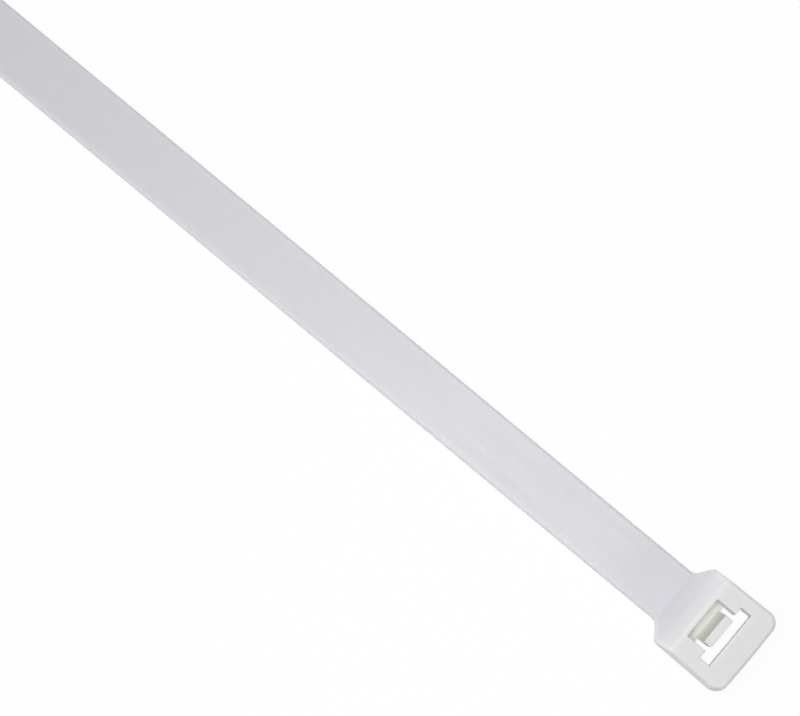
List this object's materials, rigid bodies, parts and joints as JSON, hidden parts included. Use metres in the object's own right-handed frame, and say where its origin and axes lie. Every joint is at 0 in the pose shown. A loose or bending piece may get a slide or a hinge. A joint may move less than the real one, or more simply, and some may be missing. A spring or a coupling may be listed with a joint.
{
  "type": "cable tie",
  "caption": "Nylon cable tie with a toothed strap, a tapered tail and a self-locking head that takes the tail.",
  "frame": {"origin": "centre of the throat on the entry face of the head, which is also the plane that the tie lies on", "axes": "+X along the strap from the head to the tail, +Z from the entry face to the exit face, out of the throat the way the tail leaves it"},
  "size_m": [0.2, 0.0122, 0.006],
  "materials": {
    "natural_nylon": "satin, slightly translucent undyed nylon 6/6"
  },
  "bodies": {
    "root": {"cable_tie": "natural_nylon"}
  },
  "joints": []
}
